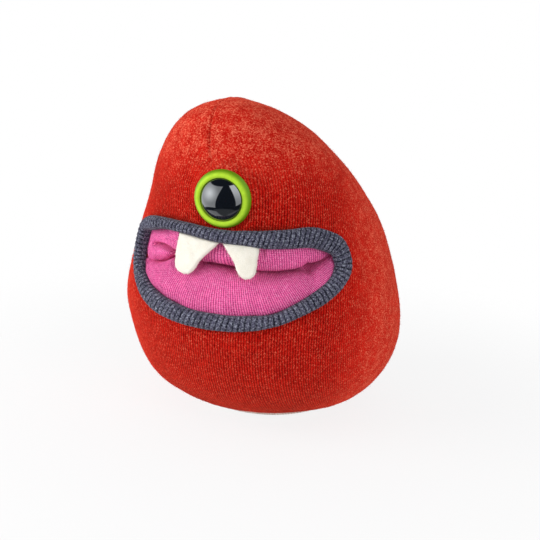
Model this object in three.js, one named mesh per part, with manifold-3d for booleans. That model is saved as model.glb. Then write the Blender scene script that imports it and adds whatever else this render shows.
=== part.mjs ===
// Plush monster: a stuffed one-eyed toy with a pocket mouth, two felt fangs and a flat base.
// Millimetres, +Z up. The origin is the centre of the flat base, and the face looks along -Y.
// Angles round the body are in degrees from the front, positive towards +X.
import * as THREE from 'three';
import { mergeVertices } from 'three/addons/utils/BufferGeometryUtils.js';
import Module from 'manifold-3d';

const wasm = await Module();
wasm.setup();

const DEG = Math.PI / 180;

// Clearance between neighbouring pieces
const GAP = 0.3;

// Stuffed body: a tall drop, widest low down
const BODY_HEIGHT = 200;
const BODY_RADIUS = 89;
const WIDEST_HEIGHT = 71;
const SHOULDER_RISE = 20;
const CROWN_SPREAD = 64;
const BELLY_FALL = 60;
const BELLY_SPREAD = 48;
const FABRIC = 3;

// Lean of the body: the belly hangs forward of the base, and the crown leans on from there
const BELLY_FORWARD = 13.5;
const BELLY_RISE = 70;
const CROWN_FORWARD = 45;
const CROWN_SIDEWAYS = -9.5;
const LEAN_START = 50;
const LEAN_POWER = 2.5;

// Flat base panel
const SEAM_HEIGHT = 5;
const BASE_FLAT_RADIUS = 38;
const BASE_THICKNESS = 3;
// The curve from the flat up to the seam, as shares of its width and height
const BASE_TURN = [[0.6, 0.24], [0.92, 0.62]];

// Mouth outline, measured round the body along the middle of the lip
const MOUTH_ANGLE = 5;
const MOUTH_HEIGHT = 113.5;
const MOUTH_WIDTH = 136.5;
const MOUTH_RISE = 15;
const MOUTH_DROP = 35;
const MOUTH_TOP_SQUARENESS = 4.8;
const MOUTH_LEFT_SQUARENESS = 2.4;
const MOUTH_RIGHT_SQUARENESS = 1.62;
const LIP_DIP_WIDTH = 18;

// Rolled rib-knit lip
const LIP_WIDTH = 8.4;
const LIP_THICKNESS = 8;
const LIP_PROUD = 1.5;

// Knitted pocket behind the lip
const LINING = 2;
const LINING_SET_BACK = 2.5;
const PALATE_BULGE = 1;
const TONGUE_BULGE = 4;
const BULGE_HIGH = 0.62;
const BULGE_LOW = 0.24;
const SLIT_HEIGHT = 7.2;
const SLIT_TAPER = 4;
const CREASE_DROP = 5;
const POCKET_DEPTH = 42;
const POCKET_SIDE_DEPTH = 22;
const POCKET_BEND = 5;
const POCKET_LEVEL = 0.72;
const LINING_SPAN = 0.975;

// Felt fangs, sewn in under the upper lip
const FELT = 3;
const LEFT_TOOTH_LENGTH = 19;
const RIGHT_TOOTH_LENGTH = 17.5;
const TOOTH_TIP_RADIUS = 4;
const TOOTH_TIP_OFFSET = 6;
const TOOTH_BELLY = 2;
const TOOTH_INNER_EDGE = 1.5;
const LEFT_TOOTH_WIDTH = 23;
const RIGHT_TOOTH_WIDTH = 20;
const TEETH_ANGLE = 3.5;
const TEETH_SPACE = 2;

// Eye: a black dome on a ring, clamped through the fabric by a lock washer
const EYE_ANGLE = 5.2;
const EYE_RISE = 32.8;
const EYE_DROOP = 12.5;
const EYE_SEAT = 1.2;
const RING_RADIUS = 16.1;
const RING_EDGE = 2.6;
const RING_CREST = 4.6;
const RING_FLOOR = 2.2;
const RING_CHAMFER = 0.45;
// The ring's rounded top, inwards: the share of its width and the fall from its crest
const RING_TOP = [[0.22, 0.4], [0.5, 0], [0.85, 0.5], [1, 1]];
const PUPIL_RADIUS = 11.8;
const PUPIL_WALL = 2.6;
const PUPIL_DOME = 5.6;
const SHANK_RADIUS = 3;
const SHANK_END = 2;
const SHANK_CHAMFER = 0.7;
const WASHER_RADIUS = 11;
const WASHER_THICKNESS = 2;
const WASHER_GAP = 1;

// Facets
const BODY_SIDES = 40;
const BELLY_RINGS = 6;
const CROWN_RINGS = 10;
const LIP_STEPS = 56;
const LIP_SIDES = 8;
const CUT_STEPS = 44;
const OUTLINE_STEPS = 720;
const POCKET_ROWS = 18;
const POCKET_STEPS = 10;
const EYE_SIDES = 32;
const DOME_STEPS = 5;
const TOOTH_SIDE_STEPS = 4;
const TOOTH_TIP_STEPS = 7;

const COLOURS = {
  wool: 0xb9271b,
  cream: 0xe9e2d4,
  fibrefill: 0xf4f2ec,
  rib: 0x4a4e5c,
  magenta: 0xc9408a,
  felt: 0xf7f1e3,
  lime: 0xa9d437,
  black: 0x0b0f14,
  washer: 0xe8e8e4,
};

// The body's outline as two curves that start at its widest ring: x is the radius, y the height
const crownCurve = new THREE.CubicBezierCurve(
  new THREE.Vector2(BODY_RADIUS, WIDEST_HEIGHT),
  new THREE.Vector2(BODY_RADIUS, WIDEST_HEIGHT + SHOULDER_RISE),
  new THREE.Vector2(CROWN_SPREAD, BODY_HEIGHT),
  new THREE.Vector2(0, BODY_HEIGHT),
);
const bellyCurve = new THREE.CubicBezierCurve(
  new THREE.Vector2(BODY_RADIUS, WIDEST_HEIGHT),
  new THREE.Vector2(BODY_RADIUS, WIDEST_HEIGHT - BELLY_FALL),
  new THREE.Vector2(BELLY_SPREAD, 0),
  new THREE.Vector2(0, 0),
);

// How far along its curve the outline passes a height
function outlineShare(z) {
  const curve = z > WIDEST_HEIGHT ? crownCurve : bellyCurve;
  let low = 0;
  let high = 1;
  for (let i = 0; i < 40; i++) {
    const middle = (low + high) / 2;
    const past = Math.abs(curve.getPoint(middle).y - WIDEST_HEIGHT) > Math.abs(z - WIDEST_HEIGHT);
    if (past) high = middle;
    else low = middle;
  }
  return low;
}

// The body's half width at a height, without its lean
function bodyRadius(z) {
  const curve = z > WIDEST_HEIGHT ? crownCurve : bellyCurve;
  return curve.getPoint(outlineShare(z)).x;
}

// The middle of the body at a height
function spine(z) {
  const lean = Math.max(0, (z - LEAN_START) / (BODY_HEIGHT - LEAN_START)) ** LEAN_POWER;
  const belly = 1 - Math.max(0, 1 - z / BELLY_RISE) ** 2;
  return { x: CROWN_SIDEWAYS * lean, y: -BELLY_FORWARD * belly - CROWN_FORWARD * lean };
}

// A point at an angle round the spine, a radius and a height
function spinePoint(angle, radius, z) {
  const middle = spine(z);
  const x = middle.x + radius * Math.sin(angle * DEG);
  const y = middle.y - radius * Math.cos(angle * DEG);
  return new THREE.Vector3(x, y, z);
}

// A point that stands out of the body's surface by a distance, level with its foot
function bodyPoint(angle, z, out) {
  return spinePoint(angle, bodyRadius(z) + out, z);
}

// The body's outward normal
function bodyNormal(angle, z) {
  const round = bodyPoint(angle + 0.5, z, 0).sub(bodyPoint(angle - 0.5, z, 0));
  const rise = bodyPoint(angle, z + 0.5, 0).sub(bodyPoint(angle, z - 0.5, 0));
  return round.cross(rise).normalize();
}

// The body's outline from the base seam to the crown, as [radius, height]
function bodyMeridian() {
  const seam = outlineShare(SEAM_HEIGHT);
  const points = [];
  for (let i = 0; i < BELLY_RINGS; i++) points.push(bellyCurve.getPoint(seam * (1 - i / BELLY_RINGS)));
  for (let i = 0; i <= CROWN_RINGS; i++) points.push(crownCurve.getPoint(i / CROWN_RINGS));
  return points.map((point) => [point.x, point.y]);
}

// An outline that ends on the axis, moved inwards by a depth
function insetMeridian(points, depth) {
  const last = points.length - 1;
  return points.map(([radius, z], i) => {
    const [r0, z0] = points[Math.max(0, i - 1)];
    const [r1, z1] = i === last ? [-r0, z0] : points[i + 1];
    const length = Math.hypot(r1 - r0, z1 - z0);
    return [radius - (depth * (z1 - z0)) / length, z + (depth * (r1 - r0)) / length];
  });
}

// A level ring round the spine, or one point where it has no radius
function spineRing([radius, z]) {
  if (radius < 1e-6) return [spinePoint(0, 0, z)];
  const points = [];
  for (let i = 0; i < BODY_SIDES; i++) points.push(spinePoint((360 * i) / BODY_SIDES, radius, z));
  return points;
}

function signedVolume(positions, index) {
  const corners = [new THREE.Vector3(), new THREE.Vector3(), new THREE.Vector3()];
  let volume = 0;
  for (let i = 0; i < index.length; i += 3) {
    corners.forEach((corner, j) => corner.fromArray(positions, 3 * index[i + j]));
    volume += corners[0].dot(corners[1].clone().cross(corners[2])) / 6;
  }
  return volume;
}

// Skins a list of closed sections. A looped list returns to its first section,
// and a capped one gets ends that zip each section's first half to its second.
function loft(sections, { looped = false, capped = false } = {}) {
  const positions = [];
  const starts = [];
  for (const section of sections) {
    starts.push(positions.length / 3);
    for (const point of section) positions.push(point.x, point.y, point.z);
  }
  const at = (i, j) => starts[i] + (j % sections[i].length);
  const index = [];
  const steps = looped ? sections.length : sections.length - 1;
  for (let i = 0; i < steps; i++) {
    const next = (i + 1) % sections.length;
    const count = Math.max(sections[i].length, sections[next].length);
    for (let j = 0; j < count; j++) {
      const [a, b, c, d] = [at(i, j), at(i, j + 1), at(next, j), at(next, j + 1)];
      if (a !== b) index.push(a, b, d);
      if (c !== d) index.push(a, d, c);
    }
  }
  if (capped) {
    const last = sections.length - 1;
    const count = sections[0].length;
    for (let j = 0; j < count / 2 - 1; j++) {
      const [a, b, c, d] = [j, j + 1, count - 1 - j, count - 2 - j];
      index.push(at(0, a), at(0, d), at(0, b), at(0, a), at(0, c), at(0, d));
      index.push(at(last, a), at(last, b), at(last, d), at(last, a), at(last, d), at(last, c));
    }
  }
  if (signedVolume(positions, index) < 0) index.reverse();
  const geometry = new THREE.BufferGeometry();
  geometry.setAttribute('position', new THREE.Float32BufferAttribute(positions, 3));
  geometry.setIndex(index);
  geometry.computeVertexNormals();
  return geometry;
}

// A slab between two grids of points
function slab(front, back) {
  const sections = front.map((row, i) => [...row, ...back[i].slice().reverse()]);
  return loft(sections, { capped: true });
}

function toSolid(geometry) {
  const bare = geometry.clone();
  bare.deleteAttribute('normal');
  bare.deleteAttribute('uv');
  const merged = mergeVertices(bare);
  return new wasm.Manifold(new wasm.Mesh({
    numProp: 3,
    vertProperties: new Float32Array(merged.attributes.position.array),
    triVerts: new Uint32Array(merged.index.array),
  }));
}

function toGeometry(solid) {
  const mesh = solid.getMesh();
  const geometry = new THREE.BufferGeometry();
  geometry.setAttribute('position', new THREE.BufferAttribute(mesh.vertProperties, 3));
  geometry.setIndex(new THREE.BufferAttribute(mesh.triVerts, 1));
  geometry.computeVertexNormals();
  return geometry;
}

// A body turned about +Y from [radius, height] points
function turned(points, sides) {
  return new THREE.LatheGeometry(points.map(([radius, y]) => new THREE.Vector2(radius, y)), sides);
}

// Mouth

const mouthRadius = bodyRadius(MOUTH_HEIGHT);
const eyeHeight = MOUTH_HEIGHT + EYE_RISE;
const lipEdge = LIP_WIDTH / 2 + GAP;
const lipTop = MOUTH_HEIGHT + MOUTH_RISE + lipEdge;
const lipDip = Math.max(0, lipTop - (eyeHeight - RING_RADIUS));

// The angle at a distance round the body from the mouth's middle
function mouthAngle(round) {
  return MOUTH_ANGLE + round / mouthRadius / DEG;
}

// The mouth's corners are squarer above than below, and fuller at the lower left than the right
function squareness(round, side) {
  if (side > 0) return MOUTH_TOP_SQUARENESS;
  return round < 0 ? MOUTH_LEFT_SQUARENESS : MOUTH_RIGHT_SQUARENESS;
}

// How far the mouth's edge lies above or below its middle height. The upper lip dips to pass
// under the eye.
function mouthEdge(round, inset, side) {
  const reach = (side > 0 ? MOUTH_RISE : MOUTH_DROP) - inset;
  const power = squareness(round, side);
  const share = Math.min(1, Math.abs(round) / (MOUTH_WIDTH / 2 - inset));
  const height = reach * (1 - share ** power) ** (1 / power);
  const fromEye = (round - (EYE_ANGLE - MOUTH_ANGLE) * DEG * mouthRadius) / LIP_DIP_WIDTH;
  const dip = side > 0 ? lipDip * Math.exp(-fromEye * fromEye) : 0;
  return side * (height - dip);
}

// The mouth's outline, laid flat: x is the distance round the body, y the height from its middle
class MouthOutline extends THREE.Curve {
  constructor(inset) {
    super();
    this.inset = inset;
    this.arcLengthDivisions = OUTLINE_STEPS;
  }

  getPoint(t) {
    const turn = 2 * Math.PI * t;
    const side = Math.sin(turn) < 0 ? -1 : 1;
    const power = squareness(Math.cos(turn), side);
    const share = Math.sign(Math.cos(turn)) * Math.abs(Math.cos(turn)) ** (2 / power);
    const round = share * (MOUTH_WIDTH / 2 - this.inset);
    return new THREE.Vector3(round, mouthEdge(round, this.inset, side), 0);
  }
}

function mouthRing(inset, out, steps) {
  const points = new MouthOutline(inset).getSpacedPoints(steps).slice(0, steps);
  return points.map((p) => bodyPoint(mouthAngle(p.x), MOUTH_HEIGHT + p.y, out));
}

function makeLip() {
  const flat = new MouthOutline(0).getSpacedPoints(LIP_STEPS).slice(0, LIP_STEPS);
  const spots = flat.map((p) => bodyPoint(mouthAngle(p.x), MOUTH_HEIGHT + p.y, 0));
  const sections = spots.map((spot, i) => {
    const normal = bodyNormal(mouthAngle(flat[i].x), MOUTH_HEIGHT + flat[i].y);
    const after = spots[(i + 1) % LIP_STEPS];
    const before = spots[(i + LIP_STEPS - 1) % LIP_STEPS];
    const along = after.clone().sub(before).normalize();
    const across = new THREE.Vector3().crossVectors(along, normal).normalize();
    const centre = spot.clone().addScaledVector(normal, LIP_PROUD);
    const section = [];
    for (let j = 0; j < LIP_SIDES; j++) {
      const turn = (2 * Math.PI * j) / LIP_SIDES;
      const point = centre.clone().addScaledVector(across, (LIP_WIDTH / 2) * Math.cos(turn));
      section.push(point.addScaledVector(normal, (LIP_THICKNESS / 2) * Math.sin(turn)));
    }
    return section;
  });
  return loft(sections, { looped: true });
}

// A plug through the fabric that fills the mouth out to the lip's outer edge
function makeMouthCut() {
  const ends = [-4 * FABRIC, BODY_RADIUS / 3];
  const middle = ends.map((out) => [bodyPoint(MOUTH_ANGLE, MOUTH_HEIGHT, out)]);
  const rings = ends.map((out) => mouthRing(-lipEdge, out, CUT_STEPS));
  return loft([middle[0], rings[0], rings[1], middle[1]]);
}

// One side of the pocket, from the lip to the back seam, as [depth, height] in a plane through the
// spine. It lies behind the side that shows by a distance.
function pocketPath(round, side, behind) {
  const share = Math.abs(round) / (MOUTH_WIDTH / 2 - lipEdge);
  const rim = MOUTH_HEIGHT + mouthEdge(round, lipEdge, side);
  const crease = MOUTH_HEIGHT - CREASE_DROP * (1 - share * share);
  const lips = crease + side * (GAP / 2 + ((SLIT_HEIGHT - GAP) / 2) * (1 - share ** SLIT_TAPER));
  const depth = THREE.MathUtils.lerp(POCKET_DEPTH, POCKET_SIDE_DEPTH, share * share);
  const bulge = (side > 0 ? PALATE_BULGE : TONGUE_BULGE) * (1 - share * share);
  const face = (part) => THREE.MathUtils.lerp(lips, rim, part);
  const path = new THREE.CatmullRomCurve3([
    new THREE.Vector3(LINING_SET_BACK, rim, 0),
    new THREE.Vector3(LINING_SET_BACK - bulge, face(BULGE_HIGH), 0),
    new THREE.Vector3(LINING_SET_BACK - bulge / 2, face(BULGE_LOW), 0),
    new THREE.Vector3(LINING_SET_BACK + POCKET_BEND, lips, 0),
    new THREE.Vector3(POCKET_LEVEL * depth, lips, 0),
    new THREE.Vector3(depth, crease + (side * GAP) / 2, 0),
  ], false, 'centripetal');
  const points = [[LINING_SET_BACK + behind, rim]];
  for (let i = 1; i <= POCKET_STEPS; i++) {
    const point = path.getPoint(i / POCKET_STEPS);
    const along = path.getTangent(i / POCKET_STEPS);
    points.push([point.x - behind * side * along.y, point.y + behind * side * along.x]);
  }
  return points;
}

// The distances round the body at which the pocket's sections lie
function pocketRows(extra) {
  const half = LINING_SPAN * (MOUTH_WIDTH / 2 - lipEdge) + extra;
  const rows = [];
  for (let i = 0; i <= POCKET_ROWS; i++) rows.push(half * Math.sin(Math.PI * (i / POCKET_ROWS - 0.5)));
  return rows;
}

function placePath(round, path) {
  return path.map(([depth, z]) => bodyPoint(mouthAngle(round), z, -depth));
}

function makeLining(side) {
  const front = pocketRows(0).map((round) => placePath(round, pocketPath(round, side, 0)));
  const back = pocketRows(0).map((round) => placePath(round, pocketPath(round, side, LINING)));
  return slab(front, back);
}

// The room that the pocket takes out of the stuffing
function makePocketCut() {
  const grids = [1, -1].map((side) => pocketRows(GAP).map((round) => {
    const path = pocketPath(round, side, LINING + GAP);
    const rim = MOUTH_HEIGHT + mouthEdge(round, lipEdge - GAP, side);
    const [endDepth, endHeight] = path[path.length - 1];
    path[0] = [path[0][0], rim];
    return placePath(round, [[-2 * FABRIC, rim], ...path, [endDepth + GAP, endHeight]]);
  }));
  return slab(grids[0], grids[1]);
}

// Eye, turned about its own +Y, which points out of the body, from the ring's back face

const eyeOut = bodyNormal(EYE_ANGLE, eyeHeight);
const eyeAcross = new THREE.Vector3(Math.cos(EYE_ANGLE * DEG), Math.sin(EYE_ANGLE * DEG), 0);
const eyeAxis = eyeOut.clone().applyAxisAngle(eyeAcross, EYE_DROOP * DEG);
const eyeTilt = Math.sin(EYE_DROOP * DEG);
const seatOut = GAP - EYE_SEAT + (RING_RADIUS / 2) * eyeTilt;
const eyeSpot = bodyPoint(EYE_ANGLE, eyeHeight, 0).addScaledVector(eyeOut, seatOut);
const eyeTurn = new THREE.Quaternion().setFromUnitVectors(new THREE.Vector3(0, 1, 0), eyeAxis);
const boreRadius = SHANK_RADIUS + GAP;
const washerFront = clothUnder(WASHER_RADIUS) - FABRIC - WASHER_GAP;
const shankEnd = washerFront - WASHER_THICKNESS - SHANK_END;

// How far below the ring's back face the cover's outer side falls, at a distance from the axis
function clothUnder(reach) {
  const depths = [];
  for (let turn = 0; turn < 2 * Math.PI; turn += Math.PI / 6) {
    const angle = EYE_ANGLE + (reach * Math.cos(turn)) / bodyRadius(eyeHeight) / DEG;
    const rim = bodyPoint(angle, eyeHeight + reach * Math.sin(turn), 0);
    depths.push(rim.sub(eyeSpot).dot(eyeAxis));
  }
  return Math.min(...depths);
}

function makeIris() {
  const lip = RING_RADIUS - PUPIL_RADIUS - GAP;
  return turned([
    [boreRadius, 0],
    [RING_RADIUS - RING_CHAMFER, 0],
    [RING_RADIUS, RING_CHAMFER],
    [RING_RADIUS, RING_EDGE],
    ...RING_TOP.map(([share, fall]) => [RING_RADIUS - share * lip, RING_CREST - fall]),
    [PUPIL_RADIUS + GAP, RING_FLOOR],
    [boreRadius, RING_FLOOR],
    [boreRadius, 0],
  ], EYE_SIDES);
}

function makePupil() {
  const foot = RING_FLOOR + GAP;
  const points = [[0, shankEnd], [SHANK_RADIUS - SHANK_CHAMFER, shankEnd]];
  points.push([SHANK_RADIUS, shankEnd + SHANK_CHAMFER], [SHANK_RADIUS, foot], [PUPIL_RADIUS, foot]);
  for (let i = 0; i < DOME_STEPS; i++) {
    const turn = (Math.PI / 2) * (i / DOME_STEPS);
    points.push([PUPIL_RADIUS * Math.cos(turn), foot + PUPIL_WALL + PUPIL_DOME * Math.sin(turn)]);
  }
  points.push([0, foot + PUPIL_WALL + PUPIL_DOME]);
  return turned(points, EYE_SIDES);
}

function makeWasher() {
  const back = washerFront - WASHER_THICKNESS;
  return turned([
    [boreRadius, back],
    [WASHER_RADIUS, back],
    [WASHER_RADIUS, washerFront],
    [boreRadius, washerFront],
    [boreRadius, back],
  ], EYE_SIDES);
}

// Plain plugs along the eye's axis, placed on the body
function makeEyeCut(radius, bottom, top) {
  const plug = turned([[0, bottom], [radius, bottom], [radius, top], [0, top]], EYE_SIDES);
  plug.applyQuaternion(eyeTurn);
  plug.translate(eyeSpot.x, eyeSpot.y, eyeSpot.z);
  return toSolid(plug);
}

// Fangs: local X runs along the sewn edge, Y is up and Z points out of the mouth

const toothDrop = FELT / 2 + GAP;

function makeTooth(side, width, length) {
  const tipX = TOOTH_TIP_OFFSET;
  const tipY = TOOTH_TIP_RADIUS - length;
  const inner = new THREE.Vector2(-width / 2, -TOOTH_INNER_EDGE);
  const reach = inner.distanceTo(new THREE.Vector2(tipX, tipY));
  const slant = Math.atan2(inner.y - tipY, inner.x - tipX) + Math.acos(TOOTH_TIP_RADIUS / reach);
  const outline = [new THREE.Vector2(-width / 2, 0), new THREE.Vector2(width / 2, 0)];
  const belly = new THREE.QuadraticBezierCurve(
    outline[1],
    new THREE.Vector2(width / 2 + TOOTH_BELLY, -length / 2),
    new THREE.Vector2(tipX + TOOTH_TIP_RADIUS, tipY),
  );
  outline.push(...belly.getPoints(TOOTH_SIDE_STEPS).slice(1));
  for (let i = 1; i <= TOOTH_TIP_STEPS; i++) {
    const turn = ((slant - 2 * Math.PI) * i) / TOOTH_TIP_STEPS;
    const x = tipX + TOOTH_TIP_RADIUS * Math.cos(turn);
    outline.push(new THREE.Vector2(x, tipY + TOOTH_TIP_RADIUS * Math.sin(turn)));
  }
  outline.push(inner);
  const shape = new THREE.Shape(outline.map((p) => new THREE.Vector2(side * p.x, p.y)));
  const geometry = new THREE.ExtrudeGeometry(shape, { depth: FELT, bevelEnabled: false });
  geometry.translate(0, 0, -FELT / 2);
  return geometry;
}

// Seats a fang's sewn edge under the lip between two distances round the body, tip clear of the tongue
function placeTooth(mesh, from, to, length) {
  const bow = (to - from) ** 2 / (8 * mouthRadius);
  const rootOut = PALATE_BULGE - LINING_SET_BACK + GAP + FELT / 2 + bow;
  const [start, end] = [from, to].map((round) => {
    const z = MOUTH_HEIGHT + mouthEdge(round, LIP_WIDTH / 2, 1) - toothDrop;
    return bodyPoint(mouthAngle(round), z, rootOut);
  });
  const root = start.clone().add(end).multiplyScalar(0.5);
  const tipOut = TONGUE_BULGE - LINING_SET_BACK + GAP + FELT / 2;
  const tip = bodyPoint(mouthAngle((from + to) / 2), root.z - length, tipOut);
  const along = end.sub(start).normalize();
  const up = root.clone().sub(tip);
  up.addScaledVector(along, -up.dot(along)).normalize();
  const out = new THREE.Vector3().crossVectors(along, up);
  mesh.position.copy(root);
  mesh.quaternion.setFromRotationMatrix(new THREE.Matrix4().makeBasis(along, up, out));
}

// Cloth and filling

const outer = bodyMeridian();
const seamRadius = outer[0][0];

function makeBody() {
  const inner = insetMeridian(outer, FABRIC);
  const shell = loft([...outer.map(spineRing), ...inner.map(spineRing).reverse()], { looped: true });
  const seat = makeEyeCut(RING_RADIUS + GAP, -GAP, 4 * RING_RADIUS);
  const hole = makeEyeCut(boreRadius, shankEnd, 0);
  return toGeometry(toSolid(shell).subtract(toSolid(makeMouthCut())).subtract(seat).subtract(hole));
}

function makeBase() {
  const rim = seamRadius - BASE_FLAT_RADIUS;
  const top = SEAM_HEIGHT - GAP;
  return loft([
    [0, 0],
    [BASE_FLAT_RADIUS, 0],
    ...BASE_TURN.map(([width, height]) => [BASE_FLAT_RADIUS + width * rim, height * top]),
    [seamRadius, top],
    [seamRadius - BASE_THICKNESS, top],
    [BASE_FLAT_RADIUS, BASE_THICKNESS],
    [0, BASE_THICKNESS],
  ].map(spineRing));
}

function makeStuffing() {
  const floor = BASE_THICKNESS + GAP;
  const side = insetMeridian(outer, FABRIC + GAP);
  const profile = [[0, floor], [BASE_FLAT_RADIUS - GAP, floor]];
  profile.push([seamRadius - BASE_THICKNESS - GAP, SEAM_HEIGHT + GAP], ...side);
  const core = toSolid(loft(profile.map(spineRing)));
  const washerRoom = makeEyeCut(WASHER_RADIUS + GAP, washerFront - WASHER_THICKNESS - GAP, 0);
  const shankRoom = makeEyeCut(SHANK_RADIUS + GAP, shankEnd - GAP, 0);
  const pocket = toSolid(makePocketCut());
  return toGeometry(core.subtract(pocket).subtract(washerRoom).subtract(shankRoom));
}

const group = new THREE.Group();

function addPiece(name, geometry, color, roughness, metalness = 0) {
  const material = new THREE.MeshStandardMaterial({ color, roughness, metalness });
  const mesh = new THREE.Mesh(geometry, material);
  mesh.name = name;
  group.add(mesh);
  return mesh;
}

addPiece('body_shell', makeBody(), COLOURS.wool, 0.95);
addPiece('base_panel', makeBase(), COLOURS.cream, 0.95);
addPiece('stuffing', makeStuffing(), COLOURS.fibrefill, 1);
addPiece('lip_trim', makeLip(), COLOURS.rib, 0.92);
addPiece('mouth_lining_upper', makeLining(1), COLOURS.magenta, 0.92);
addPiece('mouth_lining_lower', makeLining(-1), COLOURS.magenta, 0.92);

const teethMiddle = (TEETH_ANGLE - MOUTH_ANGLE) * DEG * mouthRadius;
const leftEnd = teethMiddle - TEETH_SPACE / 2;
const rightStart = teethMiddle + TEETH_SPACE / 2;
const leftShape = makeTooth(-1, LEFT_TOOTH_WIDTH, LEFT_TOOTH_LENGTH);
const toothLeft = addPiece('tooth_left', leftShape, COLOURS.felt, 0.95);
placeTooth(toothLeft, leftEnd - LEFT_TOOTH_WIDTH, leftEnd, LEFT_TOOTH_LENGTH);
const rightShape = makeTooth(1, RIGHT_TOOTH_WIDTH, RIGHT_TOOTH_LENGTH);
const toothRight = addPiece('tooth_right', rightShape, COLOURS.felt, 0.95);
placeTooth(toothRight, rightStart, rightStart + RIGHT_TOOTH_WIDTH, RIGHT_TOOTH_LENGTH);

const eyePieces = [
  addPiece('eye_iris', makeIris(), COLOURS.lime, 0.18),
  addPiece('eye_pupil', makePupil(), COLOURS.black, 0.06),
  addPiece('eye_washer', makeWasher(), COLOURS.washer, 0.5),
];
for (const piece of eyePieces) {
  piece.position.copy(eyeSpot);
  piece.quaternion.copy(eyeTurn);
}

export default group;
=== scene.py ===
import math

import bmesh
import bpy
import numpy as np
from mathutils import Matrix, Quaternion, Vector


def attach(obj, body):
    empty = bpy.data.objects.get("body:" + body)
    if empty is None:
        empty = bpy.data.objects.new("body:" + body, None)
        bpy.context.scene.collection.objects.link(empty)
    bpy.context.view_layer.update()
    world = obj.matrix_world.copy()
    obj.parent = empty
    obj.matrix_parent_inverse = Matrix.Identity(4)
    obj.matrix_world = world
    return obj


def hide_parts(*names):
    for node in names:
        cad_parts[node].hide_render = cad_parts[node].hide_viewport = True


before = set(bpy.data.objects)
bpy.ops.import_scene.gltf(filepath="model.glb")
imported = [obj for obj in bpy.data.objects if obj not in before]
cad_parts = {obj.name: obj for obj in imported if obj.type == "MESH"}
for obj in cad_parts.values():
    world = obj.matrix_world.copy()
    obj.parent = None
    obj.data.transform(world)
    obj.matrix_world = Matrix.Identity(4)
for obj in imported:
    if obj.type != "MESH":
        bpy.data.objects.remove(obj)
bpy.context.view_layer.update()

scene = bpy.context.scene
MM = 0.001
# All loose fibres are drawn from this, in the order of the pieces
random = np.random.default_rng(11)

# Sizes of the part, in millimetres and degrees, as in its source
BODY_HEIGHT = 200
CROWN_CURVE = [(89, 71), (89, 91), (64, 200), (0, 200)]
BELLY_CURVE = [(89, 71), (89, 11), (48, 0), (0, 0)]
BELLY_FORWARD, BELLY_RISE = 13.5, 70
CROWN_FORWARD, CROWN_SIDEWAYS = 45, -9.5
LEAN_START, LEAN_POWER = 50, 2.5
SEAM_HEIGHT, BASE_FLAT_RADIUS = 5, 38
MOUTH_ANGLE, MOUTH_HEIGHT, MOUTH_WIDTH = 5, 113.5, 136.5
MOUTH_RISE, MOUTH_DROP = 15, 35
MOUTH_TOP_SQUARENESS, MOUTH_LEFT_SQUARENESS, MOUTH_RIGHT_SQUARENESS = 4.8, 2.4, 1.62
LIP_DIP_WIDTH, LIP_DIP = 18, 2.8
EYE_ANGLE = 5.2
EYE_SPOT = np.array([3.00, -95.80, 146.41])
EYE_AXIS = np.array([0.0902, -0.9916, -0.0928])
RING_RADIUS, PUPIL_RADIUS = 16.1, 11.8

# The knit: the seam runs from above the eye over the crown and down the back
SEAM_ANGLE = -3.2
SEAM_AT = [160, 164, 174, 180, 187, 200]
SEAM_TURN = [-1.0, -1.0, -3.4, -4.4, -5.4, -7.0]
DART_LOW = 163
WALE, COURSE = 1.52, 1.2
# Step of the surface's slopes, and how near a pole they are measured
PROBE, POLE_GAP = 0.6, 1.5


# Surface of the body

def bezier(handles, steps=3000):
    t = np.linspace(0, 1, steps)[:, None]
    a, b, c, d = (np.array(h, float) for h in handles)
    return a * (1 - t) ** 3 + 3 * b * t * (1 - t) ** 2 + 3 * c * t * t * (1 - t) + d * t ** 3


def distances(points):
    """Distance along a line, from its first point to each point."""
    return np.concatenate([[0], np.cumsum(np.hypot(*np.diff(points, axis=0).T))])


def resampled(line, steps, margin=0.0, closed=True):
    """Points at even distances along a line."""
    far = distances(line)
    spots = np.linspace(margin, far[-1] - margin, steps, endpoint=not closed)
    return np.stack([np.interp(spots, far, column) for column in line.T], -1)


MERIDIAN = np.concatenate([bezier(BELLY_CURVE)[::-1], bezier(CROWN_CURVE)[1:]])
ALONG = distances(MERIDIAN)


def along_at(z):
    return np.interp(z, MERIDIAN[:, 1], ALONG)


def radius_at(z):
    return np.interp(z, MERIDIAN[:, 1], MERIDIAN[:, 0])


def meridian_at(along):
    """Radius and height at a distance up the meridian."""
    return np.interp(along, ALONG, MERIDIAN[:, 0]), np.interp(along, ALONG, MERIDIAN[:, 1])


def spine_at(z):
    """Where the body's middle stands at a height."""
    lean = np.clip((z - LEAN_START) / (BODY_HEIGHT - LEAN_START), 0, None) ** LEAN_POWER
    belly = 1 - np.clip(1 - z / BELLY_RISE, 0, None) ** 2
    return CROWN_SIDEWAYS * lean, -BELLY_FORWARD * belly - CROWN_FORWARD * lean


def round_spine(turn, r, z):
    """Points at a turn, a radius and a height round the spine."""
    x, y = spine_at(z)
    return np.stack(np.broadcast_arrays(x + r * np.sin(turn), y - r * np.cos(turn), z), -1)


def place(angle, along):
    """Points of the plain surface, at an angle round the spine and a distance up the meridian."""
    angle, along = np.broadcast_arrays(np.radians(angle), along)
    return round_spine(angle, *meridian_at(along))


def turn_from(angle, zero):
    """The angle as measured from zero, between -180 and 180."""
    return (angle - zero + 180) % 360 - 180


def length_of(v):
    return np.linalg.norm(v, axis=-1)


def unit(v):
    return v / np.maximum(length_of(v), 1e-9)[..., None]


def outward(angle, along):
    along = np.clip(along, POLE_GAP, ALONG[-1] - POLE_GAP)
    around = place(angle + PROBE, along) - place(angle - PROBE, along)
    rise = place(angle, along + PROBE) - place(angle, along - PROBE)
    return unit(np.cross(around, rise))


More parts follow.
